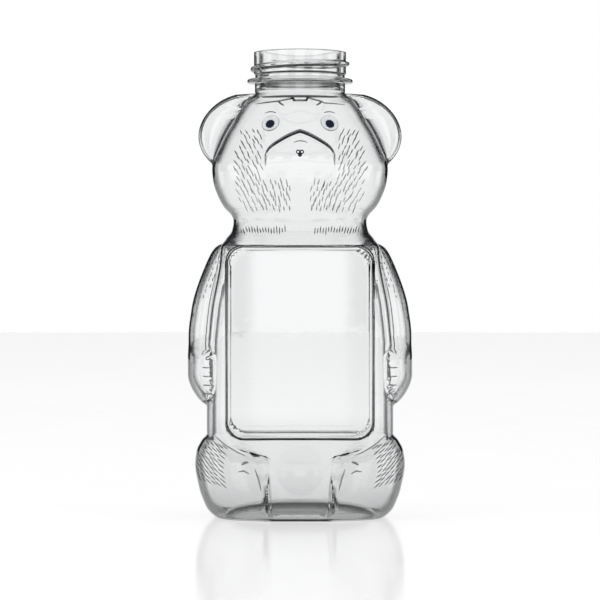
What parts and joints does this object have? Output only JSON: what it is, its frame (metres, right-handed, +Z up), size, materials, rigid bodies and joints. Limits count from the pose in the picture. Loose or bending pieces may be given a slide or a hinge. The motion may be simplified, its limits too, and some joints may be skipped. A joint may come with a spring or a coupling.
{
  "type": "bear bottle",
  "caption": "Clear bear-shaped squeeze bottle for honey or syrup, with hollow ears and arms, flat label panels and a wide screw neck.",
  "frame": {"origin": "middle of the box on the standing face", "axes": "+Z up through the mouth, -Y towards the front of the bear, +X to the right of someone who faces the bear"},
  "size_m": [0.0842, 0.0662, 0.1746],
  "materials": {
    "clear_plastic": "clear, glossy blown PET, water white",
    "pupil_ink": "printed navy ink with a slight gloss",
    "nose_ink": "printed black ink with a slight gloss"
  },
  "bodies": {
    "root": {"neck_finish": "clear_plastic", "head_shell": "clear_plastic", "torso_shell": "clear_plastic", "base_shell": "clear_plastic", "left_pupil": "pupil_ink", "right_pupil": "pupil_ink", "nose_print": "nose_ink"}
  },
  "joints": []
}
